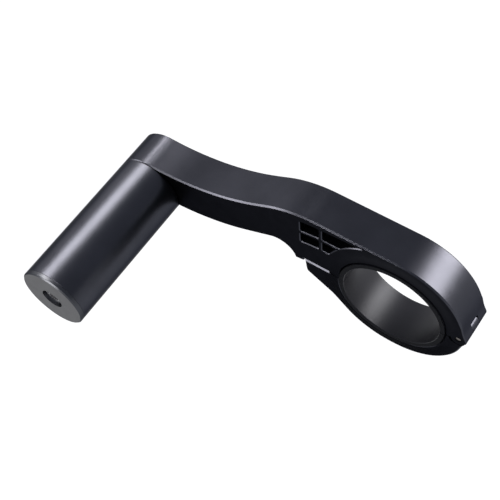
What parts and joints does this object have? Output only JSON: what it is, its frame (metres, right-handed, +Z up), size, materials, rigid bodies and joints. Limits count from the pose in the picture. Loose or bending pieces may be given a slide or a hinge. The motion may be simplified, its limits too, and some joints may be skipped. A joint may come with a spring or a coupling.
{
  "type": "bike computer mount",
  "caption": "Handlebar extension mount: a hinged, rubber-lined bar clamp, an S-shaped arm and a round accessory tube that stands out sideways.",
  "frame": {"origin": "centre of the bar clamp's bore, halfway along it", "axes": "+Y along the bar's axis, away from the accessory tube; +X from the accessory tube towards the hinge; +Z up, towards the arm's side of the clamp"},
  "size_m": [0.1238, 0.0632, 0.044],
  "materials": {
    "arm": "black anodised, satin",
    "clamp_strap": "black anodised, satin",
    "hinge_pin": "bright",
    "clamp_bolt": "zinc plated",
    "liner": "satin black",
    "tube": "black anodised, glossy",
    "end_cap": "dark anodised, matt face",
    "tube_screw": "bright"
  },
  "bodies": {
    "arm_side": {"arm": "arm", "hinge_pin": "hinge_pin", "liner_upper": "liner", "tube": "tube", "end_cap": "end_cap", "tube_screw": "tube_screw"},
    "strap_side": {"clamp_strap": "clamp_strap", "clamp_bolt": "clamp_bolt", "liner_lower": "liner"}
  },
  "joints": [
    {"name": "strap_hinge", "type": "hinge", "parent": "arm_side", "child": "strap_side", "pos_m": [0.0215, 0, 0], "axis": [0, -1, 0], "range_deg": [0, 65]}
  ]
}
